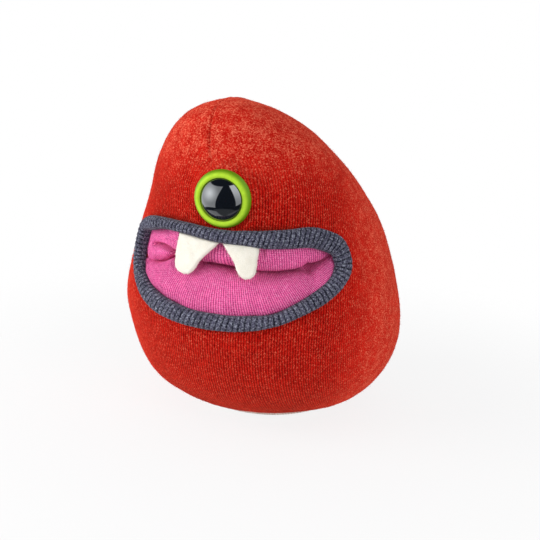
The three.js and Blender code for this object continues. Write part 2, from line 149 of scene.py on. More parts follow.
def smooth(x, low, high):
    t = np.clip((x - low) / (high - low), 0, 1)
    return t * t * (3 - 2 * t)


def bump(x, width):
    return np.exp(-(x / width) ** 2)


def ripple(points, size, seed, octaves=2):
    """Smooth random values, about -1 to 1, that change over a distance of size millimetres."""
    made = np.random.default_rng(seed)
    value = np.zeros(points.shape[:-1])
    waves, gain, full_turn = 7, 1.6, 6.3
    for octave in range(octaves):
        for _ in range(waves):
            heading = unit(made.normal(size=3)) * 2 * math.pi
            wave = heading / (size * made.uniform(0.75, 1.4)) * 2 ** octave
            phase = made.uniform(0, full_turn)
            value += np.sin(points @ wave + phase) / waves * gain / 2 ** octave
    return value


# Mouth outline, laid flat: x is the distance round the body from the mouth's middle

MOUTH_RADIUS = float(radius_at(MOUTH_HEIGHT))
EYE_ROUND = math.radians(EYE_ANGLE - MOUTH_ANGLE) * MOUTH_RADIUS
# Distances to the lip are worked out only this near the mouth
MOUTH_NEAR, FAR_OFF = 40, 99.0


def mouth_angle(x):
    return MOUTH_ANGLE + np.degrees(x / MOUTH_RADIUS)


def squareness(x, side):
    if side > 0:
        return MOUTH_TOP_SQUARENESS
    return np.where(np.asarray(x) < 0, MOUTH_LEFT_SQUARENESS, MOUTH_RIGHT_SQUARENESS)


def mouth_edge(x, inset, side):
    reach = (MOUTH_RISE if side > 0 else MOUTH_DROP) - inset
    power = squareness(x, side)
    share = np.clip(np.abs(x) / (MOUTH_WIDTH / 2 - inset), 0, 1)
    height = reach * (1 - share ** power) ** (1 / power)
    dip = LIP_DIP * bump(x - EYE_ROUND, LIP_DIP_WIDTH) if side > 0 else 0
    return side * (height - dip)


def mouth_outline(steps):
    """Even spots on the lip's middle line, from the mouth's right end over the top."""
    turn = np.linspace(0, 2 * math.pi, 8000)
    across, upper = np.cos(turn), np.sin(turn) >= 0
    power = np.where(upper, squareness(0, 1), squareness(across, -1))
    x = np.sign(across) * np.abs(across) ** (2 / power) * (MOUTH_WIDTH / 2)
    y = np.where(upper, mouth_edge(x, 0, 1), mouth_edge(x, 0, -1))
    return resampled(np.stack([x, y], -1), steps)


def mouth_distance(angle, z):
    """Distance from the lip's middle line, positive outside the mouth."""
    line = mouth_outline(400)
    x = np.radians(angle - MOUTH_ANGLE) * MOUTH_RADIUS
    x, y = np.broadcast_arrays(x, z - MOUTH_HEIGHT)
    found = np.full(x.shape, FAR_OFF)
    close = np.abs(x) < MOUTH_WIDTH / 2 + MOUTH_NEAR
    close &= (y < MOUTH_RISE + MOUTH_NEAR) & (y > -MOUTH_DROP - MOUTH_NEAR)
    x, y = x[close], y[close]
    apart = np.array([np.hypot(*(line - spot).T).min() for spot in zip(x, y)])
    inside = np.abs(x) < MOUTH_WIDTH / 2
    inside &= (y < mouth_edge(x, 0, 1)) & (y > mouth_edge(x, 0, -1))
    found[close] = np.where(inside, -apart, apart)
    return found


# Meshes

def add_object(name, data):
    thing = bpy.data.objects.new(name, data)
    scene.collection.objects.link(thing)
    return thing


def new_object(name, mesh, material, body="toy"):
    thing = add_object(name, mesh)
    mesh.materials.append(material)
    mesh.shade_smooth()
    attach(thing, body)
    return thing


def grid_mesh(name, points, wrap=False, knit=None, keep=None, pole=None):
    """A mesh from rows of points in millimetres.

    wrap closes each row, knit gives each corner's wale and course, keep marks points whose faces
    stay, and pole is a point that closes the last row.
    """
    rows, cols = points.shape[:2]
    number = np.arange(rows * cols).reshape(rows, cols)
    i, j = np.indices((rows - 1, cols if wrap else cols - 1)).reshape(2, -1)
    if keep is not None:
        kept = np.any([np.roll(keep, (-down, -across), (0, 1))[i, j]
                       for down in (0, 1) for across in (0, 1)], 0)
        i, j = i[kept], j[kept]
    k = (j + 1) % cols
    faces = np.stack([number[i, j], number[i, k], number[i + 1, k], number[i + 1, j]], -1)
    used = np.isin(number, faces).ravel()
    index = np.cumsum(used) - 1
    vertices = points.reshape(-1, 3)[used]
    faces = index[faces].tolist()
    if knit is not None:
        ends = [knit[i, j], knit[i, j + 1], knit[i + 1, j + 1], knit[i + 1, j]]
        corners = np.stack(ends, 1).reshape(-1, 2)
    if pole is not None:
        ring = index[number[-1]].tolist()
        faces += [[a, b, len(vertices)] for a, b in zip(ring, ring[1:] + ring[:1])]
        vertices = np.vstack([vertices, pole])
        if knit is not None:
            tips = [[a, b, (a + b) / 2 + [0, 1]] for a, b in zip(knit[-1], knit[-1, 1:])]
            corners = np.vstack([corners, np.reshape(tips, (-1, 2))])
    mesh = bpy.data.meshes.new(name)
    mesh.from_pydata((vertices * MM).tolist(), [], faces)
    if knit is not None:
        layer = mesh.uv_layers.new(name="Knit")
        layer.data.foreach_set("uv", corners.astype(np.float32).ravel())
    mesh.update()
    return mesh


def grid_normals(points, wrap=False):
    if wrap:
        around = np.roll(points, -1, 1) - np.roll(points, 1, 1)
    else:
        around = np.gradient(points, axis=1)
    return unit(np.cross(around, np.gradient(points, axis=0)))


# Loose fibres: shares of the length and of the tip's lift, the bend, and how deep they root
FIBRE_LENGTHS, FIBRE_TIPS, FIBRE_BEND, FIBRE_ROOT = (0.5, 1.3), (0.2, 1.3), 0.35, 0.05


def fibres(name, points, normals, count, material, length, width, lift, body="toy", wrap=False,
           allowed=None):
    """Short loose fibres on a grid of points: thin bent strips that lie along the surface."""
    cols = points.shape[1]
    last = cols if wrap else cols - 1
    here, beside = points[:-1], np.roll(points, -1, 1)[:-1]
    area = length_of(np.cross(beside - here, points[1:] - here))[:, :last]
    if allowed is not None:
        area = area * allowed[:-1, :last]
    chance = np.cumsum(area.ravel()) / area.sum()
    cell = np.searchsorted(chance, random.uniform(size=count))
    i, j = cell // last, cell % last
    s, t = random.uniform(size=(2, count, 1))
    k = (j + 1) % cols
    spot = (1 - s) * ((1 - t) * points[i, j] + t * points[i, k])
    spot = spot + s * ((1 - t) * points[i + 1, j] + t * points[i + 1, k])
    out = normals[i, j]
    flat = unit(np.cross(out, random.normal(size=(count, 3))))
    long = length * random.uniform(*FIBRE_LENGTHS, (count, 1))
    rise = lift * random.uniform(0.0, 1.0, (count, 1)) ** 2
    bend = unit(np.cross(out, flat)) * random.normal(size=(count, 1)) * FIBRE_BEND
    first = spot - FIBRE_ROOT * out
    middle = spot + (flat + bend * 0.5) * long * 0.5 + out * rise * long * 0.5
    tip_lift = out * rise * long * random.uniform(*FIBRE_TIPS, (count, 1))
    tip = spot + (flat + bend * 1.6) * long + tip_lift
    across = unit(np.cross(flat, random.normal(size=(count, 3)))) * width / 2
    strip = np.stack([first - across, first + across, middle + across, middle - across, tip], 1)
    base = 5 * np.arange(count)[:, None]
    quads = (base + [0, 1, 2, 3]).tolist()
    tips = (base + [3, 2, 4]).tolist()
    mesh = bpy.data.meshes.new(name)
    mesh.from_pydata((strip.reshape(-1, 3) * MM).tolist(), [], quads + tips)
    mesh.update()
    return new_object(name, mesh, material, body)


# Materials

WHITE = (1, 1, 1, 1)
CLOTH_ROUGH, DULL = 0.95, 0.03


def srgb(r, g, b):
    values = [v / 255 for v in (r, g, b)]
    return [v / 12.92 if v <= 0.04045 else ((v + 0.055) / 1.055) ** 2.4 for v in values] + [1]


class Nodes:
    """Short calls that add nodes to a tree and give their sockets."""

    def __init__(self, tree):
        self.tree = tree
        tree.nodes.clear()

    def put(self, socket, value):
        if isinstance(value, bpy.types.NodeSocket):
            self.tree.links.new(value, socket)
        else:
            socket.default_value = value

    def node(self, kind, *values, **settings):
        """A shader node with these settings, and values or sockets for its first inputs."""
        made = self.tree.nodes.new("ShaderNode" + kind)
        for key, value in settings.items():
            setattr(made, key, value)
        for socket, value in zip(made.inputs, values):
            self.put(socket, value)
        return made

    def fill(self, made, **values):
        """Gives values or sockets to inputs by name, with _ for a space."""
        for name, value in values.items():
            self.put(made.inputs[name.replace("_", " ")], value)
        return made

    def math(self, operation, *values, clamp=False):
        return self.node("Math", *values, operation=operation, use_clamp=clamp).outputs[0]

    def times(self, a, b):
        return self.math("MULTIPLY", a, b)

    def vector(self, operation, *values):
        made = self.node("VectorMath", *values, operation=operation)
        return made.outputs["Value" if operation in ("LENGTH", "DOT_PRODUCT") else "Vector"]

    def split(self, value):
        return self.node("SeparateXYZ", value).outputs

    def span(self, value, low, high, to_low=0.0, to_high=1.0):
        return self.node("MapRange", value, low, high, to_low, to_high,
                         interpolation_type="SMOOTHSTEP").outputs[0]

    def blend(self, share, first, second):
        return self.node("MixShader", share, first, second).outputs[0]


class Graph(Nodes):
    """A material's nodes, with one main shader."""

    def __init__(self, name):
        self.material = bpy.data.materials.new(name)
        self.material.use_nodes = True
        super().__init__(self.material.node_tree)
        self.shader = self.node("BsdfPrincipled")
        self.output = self.node("OutputMaterial", self.shader.outputs[0])

    def mix(self, share, a, b):
        made = self.node("Mix", share, data_type="RGBA")
        self.put(made.inputs[6], a)
        self.put(made.inputs[7], b)
        return made.outputs[2]

    def spot(self):
        return self.node("TexCoord").outputs["Object"]

    def noise(self, scale, detail=2.0, roughness=0.5, stretch=None, at=None):
        at = self.spot() if at is None else at
        if stretch:
            at = self.fill(self.node("Mapping"), Vector=at, Scale=stretch).outputs[0]
        made = self.node("TexNoise")
        self.fill(made, Vector=at, Scale=scale, Detail=detail, Roughness=roughness)
        return made.outputs["Fac"]

    def relief(self, height, distance, strength=1.0):
        made = self.node("Bump")
        self.fill(made, Strength=strength, Distance=distance, Height=height)
        self.put(self.shader.inputs["Normal"], made.outputs[0])

    def finish(self, colour, roughness=CLOTH_ROUGH, **sockets):
        self.fill(self.shader, Base_Color=colour, Roughness=roughness, **sockets)
        return self.material


# Where felting starts and ends: the cosine of the turn from the mouth, and the height, which also
# bounds the crown's painted shade
FELTED_SIDE, PLAIN_FRONT = 0.35, 0.88
CROWN_FELT_AND_SHADE_FROM, CROWN_FELT_AND_SHADE_TO = 140, 178


def felting(g):
    """How far the red wool's wales are lost to felting: in all, and at the crown, which also gets
    painted shade.
    """
    level = g.vector("MULTIPLY_ADD", g.spot(), (1, 1, 0), (0, BELLY_FORWARD * MM, 0))
    level = g.vector("NORMALIZE", level)
    turn = math.radians(MOUTH_ANGLE)
    facing = g.vector("DOT_PRODUCT", level, (math.sin(turn), -math.cos(turn), 0))
    sides = g.span(facing, FELTED_SIDE, PLAIN_FRONT, 0.9, 0.0)
    height = g.split(g.spot())[2]
    crown = g.span(height, CROWN_FELT_AND_SHADE_FROM * MM, CROWN_FELT_AND_SHADE_TO * MM, 0.0, 0.92)
    return g.math("MAXIMUM", sides, crown), crown


# Scales of the knit's noises, in cycles a metre, and how far apart two strands are in theirs
SWAY_NOISE, FINE_NOISE, TWEED_NOISE, FLEECE_NOISE = 240, 1300, 1000, (900, 900, 1250)
GROOVE_NOISE, FLEECE_BLOTCH, SMALL_BLOTCH, LARGE_BLOTCH = 420, 210, 170, 45
STRAND_APART = 5.37


def knit(name, base, dark, light, depth=0.25, groove=0.6, narrow=2.2, split=0.0, stitch=0.3,
         gleam=0.0, salt=0.6, sparse=0.5, pepper=0.6, strand=0.5, wobble=0.25, sheen=0.1,
         sheen_tint=WHITE, felted_and_shaded=False, tweed=False):
    """Wool or cotton knit: wales of V stitches, shade painted between, with light and dark fibres.
    """
    g = Graph(name)
    u, v, _ = g.split(g.node("UVMap", uv_map="Knit").outputs[0])
    sway = g.math("SUBTRACT", g.noise(SWAY_NOISE), 0.5)
    wale = g.math("MULTIPLY_ADD", sway, wobble, u)
    side = g.times(g.math("ABSOLUTE", g.math("SUBTRACT", g.math("FRACT", wale), 0.5)), 2.0)
    middle = g.math("POWER", g.math("SUBTRACT", 1.0, side), 4.0)
    between = g.math("MAXIMUM", g.math("POWER", side, narrow), g.times(middle, split))
    course = g.math("MULTIPLY_ADD", sway, 0.8, v)
    course = g.math("MULTIPLY_ADD", side, 0.0 if tweed else 0.55, course)
    loop = g.math("MULTIPLY_ADD", g.math("SINE", g.times(course, 2 * math.pi)), 0.5, 0.5)
    fine = g.noise(FINE_NOISE, 2, 0.75)
    if tweed:
        grain = g.noise(TWEED_NOISE, 3, 0.85)
    else:
        leg = g.math("FLOOR", g.times(wale, 2.0))
        strands = g.node("CombineXYZ", g.times(leg, STRAND_APART), g.times(course, strand))
        grain = g.noise(1.0, 2, 0.7, at=strands.outputs[0])
    if felted_and_shaded:
        lost, crown = felting(g)
        kept = g.math("SUBTRACT", 1.0, lost)
        between = g.times(between, kept)
        loop = g.math("ADD", g.times(loop, kept), g.times(lost, 0.6))
        fleece = g.noise(1.0, 3, 0.85, stretch=FLEECE_NOISE)
        fleece = g.math("ADD", fleece, g.span(g.noise(FLEECE_BLOTCH), 0.3, 0.7, 0.03, 0.11))
        grain = g.math("ADD", g.times(grain, kept), g.times(fleece, lost))
        salt = g.math("MULTIPLY_ADD", lost, 0.25, salt)
    # Painted shade: darker towards dark in the grooves between wales and at the loops' edges
    shade = g.times(between, g.span(g.noise(GROOVE_NOISE), 0.3, 0.6, 0.8 * groove, groove))
    for darker in (g.times(g.math("SUBTRACT", 1.0, loop), stitch),
                   g.span(g.noise(LARGE_BLOTCH, 3, 0.6), 0.35, 0.7, 0.1, 0.0),
                   g.span(g.noise(SMALL_BLOTCH), 0.35, 0.65, 0.12, 0.0),
                   g.span(grain, 0.3, 0.5, pepper, 0.0)):
        shade = g.math("ADD", shade, darker, clamp=True)
    # Painted shade: the crown is darkened towards dark, standing in for less light on the top
    if felted_and_shaded:
        shade = g.math("MULTIPLY_ADD", crown, 0.13, shade, clamp=True)
    speck = g.times(g.span(grain, sparse, sparse + 0.14), g.span(fine, 0.38, 0.56, 0.3, 1.0))
    # Light flecks are kept out of the grooves' painted shade
    speck = g.times(speck, g.math("MULTIPLY_ADD", between, -0.85, 1.0))
    bright = g.times(speck, salt)
    crest = g.math("SUBTRACT", 1.0, between)
    # gleam is a painted highlight: the loops' crests lighter towards light
    if gleam:
        shine = g.times(crest, g.math("POWER", loop, 2.0))
        bright = g.math("MULTIPLY_ADD", shine, gleam, bright, clamp=True)
    height = g.times(crest, g.math("MULTIPLY_ADD", loop, 0.3, 0.7))
    height = g.math("MULTIPLY_ADD", g.math("ADD", fine, grain), 0.4, height)
    g.relief(height, depth * MM)
    return g.finish(g.mix(bright, g.mix(shade, base, dark), light), Sheen_Weight=sheen,
                    Sheen_Roughness=0.5, Sheen_Tint=sheen_tint, Specular_IOR_Level=DULL)


def fluff(name, pale, deep):
    g = Graph(name)
    colour = g.mix(g.span(g.noise(1200, 1), 0.4, 0.6), deep, pale)
    return g.finish(colour, Specular_IOR_Level=DULL)


def felt(name, base, shade):
    g = Graph(name)
    fine = g.noise(1900, 4, 0.75)
    web = g.noise(1.0, 2, 0.6, stretch=(700, 2400, 900))
    colour = g.mix(g.span(g.noise(170, 3), 0.3, 0.75, 0.0, 0.35), base, shade)
    colour = g.mix(g.span(fine, 0.3, 0.6, 0.25, 0.0), colour, shade)
    g.relief(g.math("ADD", fine, web), 0.3 * MM, 0.8)
    return g.finish(colour, Sheen_Weight=0.08, Sheen_Roughness=0.5, Specular_IOR_Level=DULL)


def plastic(name, base, rim, roughness, scratch, shaded_rim_at=None, coat=0.3, ior=1.5, specular=0.5):
    """Moulded plastic, polished by wear. shaded_rim_at is how far from the eye's axis the rim
    colour starts, as painted shade.
    """
    g = Graph(name)
    wear = g.span(g.noise(300, 3, 0.6), 0.3, 0.8)
    colour = g.mix(g.times(wear, 0.25), base, rim)
    # Painted shade: the outer wall of the ring turns to the darker rim colour
    if shaded_rim_at:
        spot = g.vector("SUBTRACT", g.spot(), tuple(EYE_SPOT * MM))
        far = g.vector("LENGTH", g.vector("CROSS_PRODUCT", spot, tuple(EYE_AXIS)))
        colour = g.mix(g.span(far, shaded_rim_at[0] * MM, shaded_rim_at[1] * MM), colour, rim)
    g.relief(g.noise(1.0, stretch=(1500, 90, 1500)), 0.01 * MM, scratch)
    rough = g.math("MULTIPLY_ADD", wear, 0.05, roughness)
    return g.finish(colour, rough, Coat_Weight=coat, Coat_Roughness=0.04, IOR=ior,
                    Specular_IOR_Level=specular)


red_knit = knit("red_knit", srgb(212, 28, 18), srgb(96, 0, 2), srgb(250, 134, 102), depth=0.35,
                groove=0.9, stitch=0.18, salt=0.58, sparse=0.53, strand=1.1, sheen=0.45,
                sheen_tint=(1.0, 0.13, 0.07, 1), felted_and_shaded=True)
red_fluff = fluff("red_fluff", srgb(236, 92, 66), srgb(190, 30, 20))
rib_knit = knit("rib_knit", srgb(86, 84, 103), srgb(4, 7, 18), srgb(184, 190, 204), depth=0.12,
                groove=0.85, narrow=2.0, split=0.25, stitch=0.04, salt=0.75, wobble=0.03,
                tweed=True)
rib_fluff = fluff("rib_fluff", srgb(108, 114, 134), srgb(40, 44, 58))
pink_knit = knit("pink_knit", srgb(255, 98, 170), srgb(150, 20, 92), srgb(255, 184, 222),
                 groove=0.9, stitch=0.12, gleam=0.35, salt=0.5, pepper=0.4, strand=1.1,
                 wobble=0.12, sheen_tint=(1.0, 0.5, 0.75, 1))
pink_fluff = fluff("pink_fluff", srgb(255, 140, 198), srgb(222, 74, 146))
cream_knit = knit("cream_knit", srgb(246, 240, 230), srgb(190, 178, 166), srgb(250, 246, 238),
                  salt=0.5, pepper=0.4)
cream_fluff = fluff("cream_fluff", srgb(252, 249, 243), srgb(232, 224, 214))
fang_felt = felt("fang_felt", srgb(241, 237, 226), srgb(226, 219, 202))
fang_fluff = fluff("fang_fluff", srgb(254, 252, 245), srgb(245, 238, 224))
filling_wool = felt("filling_wool", srgb(244, 242, 236), srgb(222, 218, 208))
# The lime's darker rim colour is painted shade on the ring's outer wall
lime = plastic("lime", srgb(178, 218, 56), srgb(98, 142, 12), 0.32, 0.3, shaded_rim_at=(13.6, 15.9),
               coat=0.0, specular=0.12)
black = plastic("black", srgb(7, 12, 20), srgb(10, 14, 22), 0.04, 0.12, coat=1.0, ior=1.8)
white_plastic = plastic("white_plastic", srgb(232, 232, 228), srgb(222, 222, 216), 0.4, 0.5)


# Body cover

LIP_TUCK, LIP_TUCK_DEPTH = 6.0, 3.2
LIP_SWELL, LIP_SWELL_AT, LIP_SWELL_WIDE = 0.9, 13, 8
# Depths of the seams, and how their thread puckers
DART_DEPTH, BACK_DEPTH, BASE_DEPTH = 1.1, 0.9, 1.1
PUCKER, PUCKER_PITCH = 0.35, 3.4
SWELL, SWELL_SIZE, LUMP, LUMP_SIZE = 0.35, 46, 0.12, 9
EYE_HOLD, EYE_PRESS, EYE_SIDE = 5, 0.45, -30
# How far the body stands out of the plain surface, each TRIM_STEP of its height from TRIM_START,
# on the sides that make the photograph's left and right outline
LEFT_TRIM = [0, 0.6, 0, -1.6, -2.2, -2.3, -0.5, 0.9, 1.5, 1.1, -0.2, -0.8, -1.2, -1.9, -1.9,
             -0.6, 0.1, 0.2, -0.2, -0.8, -0.8]
RIGHT_TRIM = [0.5, 1.2, 0.7, 0.8, 1.3, 1.5, 0.8, -0.4, -0.9, -0.8, -0.6, -0.4, 0.4, 0.9, -0.5,
              -0.2, -0.4, -0.7, -0.5, 0.0, 0.0]
TRIM_START, TRIM_STEP, TRIM_BLUR = 5, 10, 8
LEFT_SIDE, RIGHT_SIDE, SIDE_WIDE = -70, 110, 38
CROWN_SINK, CROWN_SINK_FROM = 0.7, 186


def seam_drift(turn, z):
    """How far the front seam strays from its mean angle, lessening to nothing at the back."""
    return (np.interp(z, SEAM_AT, SEAM_TURN) - SEAM_ANGLE) * (1 - np.abs(turn) / 180)


def cover_points(angle, along):
    """The plain body, drawn in along the lip, the eye and the seams."""
    points = place(angle, along)
    out = outward(angle, along)
    z = points[..., 2]
    lip = mouth_distance(angle, z)
    move = LIP_SWELL * bump(lip - LIP_SWELL_AT, LIP_SWELL_WIDE)
    move = move - LIP_TUCK_DEPTH * (1 - smooth(lip, 0.5, LIP_TUCK))
    turn = turn_from(angle, SEAM_ANGLE)
    r = meridian_at(along)[0]
    front = np.abs(np.radians(turn - seam_drift(turn, z))) * r
    back = np.radians(180 - np.abs(turn)) * r
    crown = smooth(along, along_at(185), along_at(199))
    pucker = 1 + PUCKER * np.sin(along * 2 * math.pi / PUCKER_PITCH) * (1 - crown)
    dart = smooth(z, DART_LOW, DART_LOW + 12) * (1 - 0.8 * crown)
    move += dart * pucker * (-DART_DEPTH * bump(front, 0.8) + 0.4 * bump(front - 3.0, 2.4))
    move += pucker * (-BACK_DEPTH * bump(back, 1.1) + 0.5 * bump(back - 4, 3.5))
    move -= BASE_DEPTH * bump(along - along_at(SEAM_HEIGHT), 2.2)
    for side, trim in ((LEFT_SIDE, LEFT_TRIM), (RIGHT_SIDE, RIGHT_TRIM)):
        heights = TRIM_START + TRIM_STEP * np.arange(len(trim))
        near = bump(z[..., None] - heights, TRIM_BLUR)
        move += (near @ np.array(trim)) / near.sum(-1) * bump(turn_from(angle, side), SIDE_WIDE)
    fade = smooth(along, along_at(SEAM_HEIGHT), along_at(SEAM_HEIGHT) + 14)
    move += fade * SWELL * ripple(points, SWELL_SIZE, 3) + LUMP * ripple(points, LUMP_SIZE, 5, 1)
    points = points + out * move[..., None]
    points[..., 2] -= CROWN_SINK * smooth(points[..., 2], CROWN_SINK_FROM, BODY_HEIGHT)
    from_eye = points - EYE_SPOT
    height = from_eye @ EYE_AXIS
    far = length_of(from_eye - height[..., None] * EYE_AXIS)
    hold = (1 - smooth(far, RING_RADIUS - 0.8, RING_RADIUS + EYE_HOLD)) * (height > EYE_SIDE)
    return points + EYE_AXIS * (hold * (-EYE_PRESS - height))[..., None], lip


def cover_knit(angle, along):
    """Wales and courses of the cover, which lean in to the dart above the eye."""
    turn = angle - SEAM_ANGLE
    r, z = meridian_at(along)
    round_seam, along = np.broadcast_arrays(np.radians(turn - seam_drift(turn, z)) * r, along)
    wedge = np.clip(along - along_at(DART_LOW - 12), 0, None)
    lean_in = np.sign(round_seam) * wedge * (0.5 * np.exp(-np.abs(round_seam) / 30))
    return np.stack([(round_seam + lean_in) / WALE, along / COURSE], -1)


CLOTH_COLS, CLOTH_ROWS = 120, 64
CLOTH_FRAMES, CLOTH_PRESSURE = 20, 4.0
CLOTH_CAP, CLOTH_BLUR = 2.0, 5


def blurred(values, width):
    """Values of a grid that closes on itself sideways, averaged over width cells each way."""
    reach = 2 * width
    kernel = bump(np.arange(-reach, reach + 1), width)
    kernel /= kernel.sum()
    values = np.pad(values, ((reach, reach), (0, 0)), mode="edge")
    values = np.pad(values, ((0, 0), (reach, reach)), mode="wrap")
    for axis in (0, 1):
        values = np.apply_along_axis(np.convolve, axis, values, kernel, "valid")
    return values


def pressed_relief(turn, along):
    """How far the filling's pressure moves the cover, from a cloth held at lip, eye and seams."""
    rough_turn = SEAM_ANGLE - 180 + np.arange(CLOTH_COLS) * 360 / CLOTH_COLS
    rough_along = np.linspace(along_at(SEAM_HEIGHT), ALONG[-1] - 4, CLOTH_ROWS)
    rest, from_lip = cover_points(rough_turn[None], rough_along[:, None])
    held = (from_lip < 5) | (length_of(rest - EYE_SPOT) < RING_RADIUS + 2)
    held[0] = held[-1] = held[:, 0] = True
    mesh = grid_mesh("trial", rest, wrap=True)
    trial = add_object("trial", mesh)
    pins = trial.vertex_groups.new(name="held")
    pins.add(np.flatnonzero(held.ravel()).tolist(), 1.0, "REPLACE")
    cloth = trial.modifiers.new("cloth", "CLOTH").settings
    cloth.vertex_group_mass = "held"
    cloth.use_pressure = True
    cloth.uniform_pressure_force = CLOTH_PRESSURE
    cloth.effector_weights.gravity = 0
    cloth.quality = 6
    for frame_number in range(1, CLOTH_FRAMES + 1):
        scene.frame_set(frame_number)
    evaluated = trial.evaluated_get(bpy.context.evaluated_depsgraph_get())
    settled = np.empty(rest.size, np.float32)
    evaluated.data.vertices.foreach_get("co", settled)
    scene.frame_set(1)
    bpy.data.objects.remove(trial)
    bpy.data.meshes.remove(mesh)
    moved = ((settled.reshape(rest.shape) / MM - rest) * grid_normals(rest, wrap=True)).sum(-1)
    moved = np.clip(moved - blurred(moved, CLOTH_BLUR), -CLOTH_CAP, CLOTH_CAP)
    rows = np.stack([np.interp(along, rough_along, column) for column in moved.T], 1)
    wide_turn = np.append(rough_turn, rough_turn[0] + 360)
    rows = np.concatenate([rows, rows[:, :1]], 1)
    return np.stack([np.interp(turn, wide_turn, row) for row in rows])


COVER_COLS, COVER_ROWS = 440, 215
cover_along = np.linspace(along_at(SEAM_HEIGHT), ALONG[-1] - 1.2, COVER_ROWS)[:, None]
turns = np.arange(COVER_COLS + 1) / COVER_COLS - 0.5
cover_turn = SEAM_ANGLE + np.degrees(2 * math.pi * turns - 0.3 * np.sin(4 * math.pi * turns))
cover_grid, lip_distance = cover_points(cover_turn[None, :-1], cover_along)
relief = pressed_relief(cover_turn[:-1], cover_along[:, 0])
cover_grid = cover_grid + grid_normals(cover_grid, wrap=True) * relief[..., None]
crown_spot = place(np.array(0.0), np.array(ALONG[-1])) - [0, 0, 0.2 + CROWN_SINK]
cover = new_object("cover", grid_mesh(
    "cover", cover_grid, wrap=True, knit=cover_knit(cover_turn[None, :], cover_along),
    keep=lip_distance > -0.8, pole=crown_spot), red_knit)
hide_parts("body_shell")

cover_out = grid_normals(cover_grid, wrap=True)
to_eye = length_of(cover_grid - EYE_SPOT)
open_cloth = (lip_distance > 2.5) & (to_eye > RING_RADIUS + 1)
cover_fuzz = fibres("cover_fuzz", cover_grid, cover_out, 42000, red_fluff, 1.7, 0.07, 0.45,
                    wrap=True, allowed=open_cloth)
halo = fibres("cover_halo", cover_grid, cover_out, 8000, red_fluff, 1.4, 0.055, 1.3,
              wrap=True, allowed=open_cloth)


# Base panel

BASE_COLS, BASE_ROWS = 180, 90
BASE_RIM = slice(36, 72)


def base_grid():
    """A flat disc with a rolled rim at the seam, and its upper side within."""
    seam = float(radius_at(SEAM_HEIGHT))
    rim = seam - BASE_FLAT_RADIUS
    rise = ((0, 0), (0.3, 0.25), (0.6, 0.8), (0.9, 1.6))
    shape = [(0, 0)] + [(BASE_FLAT_RADIUS + share * rim, z) for share, z in rise]
    shape += [(seam + 1.9, 2.7), (seam + 2.5, 3.7), (seam + 1.8, 4.8), (seam - 0.5, 5.3),
              (seam - 3, 4.8), (seam - 8, 3.9), (BASE_FLAT_RADIUS, 3), (0, 3)]
    r, z = resampled(np.array(shape), BASE_ROWS, 0.3, False).T[..., None]
    return round_spine(np.radians(np.arange(BASE_COLS) * 360 / BASE_COLS), r, z)


base_points = base_grid()
base_knit = base_points[..., :2] / [WALE, COURSE]
base_knit = np.concatenate([base_knit, base_knit[:, :1]], 1)
base = new_object("base", grid_mesh("base", base_points, wrap=True, knit=base_knit,
                                    pole=base_points[-1].mean(0)), cream_knit)
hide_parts("base_panel")
base_rim = base_points[BASE_RIM]
base_fuzz = fibres("base_fuzz", base_rim, -grid_normals(base_rim, wrap=True), 7000, cream_fluff,
                   1.8, 0.08, 0.8, wrap=True)


# Lip: a rolled band of rib knit

LIP_RIBS, RIB_STEPS, RIB_DEPTH = 116, 15, 0.5
LIP_STEPS = LIP_RIBS * RIB_STEPS
# The band's section, and how far it stands out of the body, less at the mouth's left end
LIP_AROUND, LIP_ROUNDNESS, LIP_COURSES = 40, 0.85, 0.6
LIP_THICK, LIP_PROUD, LIP_LEFT_SINK = 8.0, 1.6, 1.3
# At 24 even spots on its line: how far the band lies outside it, half the band's width, and how
# far its ribs lean for each millimetre across
LIP_SHIFT = [-0.1, -1.3, -0.4, -1.9, -2.2, -0.5, 0.3, 0, -0.1, -0.1, -0.8, 0.1, 1.5, 0.5, -0.2,
             0.1, 0, 0, -0.3, 0.2, 0.9, -0.3, -0.6, -0.1]
LIP_HALF = [5.4, 6.1, 5.7, 5.3, 4.9, 4.0, 3.6, 3.4, 3.2, 3.4, 4.3, 3.5, 3.3, 4.9, 5.1,
            5.4, 5.1, 4.7, 4.6, 4.2, 3.5, 3.9, 4.4, 4.7]
LIP_LEAN = [0, -0.15, -0.3, -0.35, -0.35, -0.3, -0.25, -0.2, -0.2, -0.2, -0.15, -0.1, -0.1,
            -0.1, -0.15, -0.2, -0.25, -0.25, -0.25, -0.2, -0.1, 0, 0, 0]


def smooth_between(t, a, b, c, d):
    """A smooth curve's value between b and c at a share t, with a before them and d after."""
    return b + 0.5 * t * (c - a + t * (2 * a - 5 * b + 4 * c - d + t * (3 * b - a - 3 * c + d)))


def round_trip(values, steps):
    """Values at even spots round a closed line, drawn through a shorter list of them."""
    values = np.array(values, float)
    spot = np.arange(steps) / steps * len(values)
    i = spot.astype(int)
    return smooth_between(spot - i, *(values[(i + k) % len(values)] for k in (-1, 0, 1, 2)))


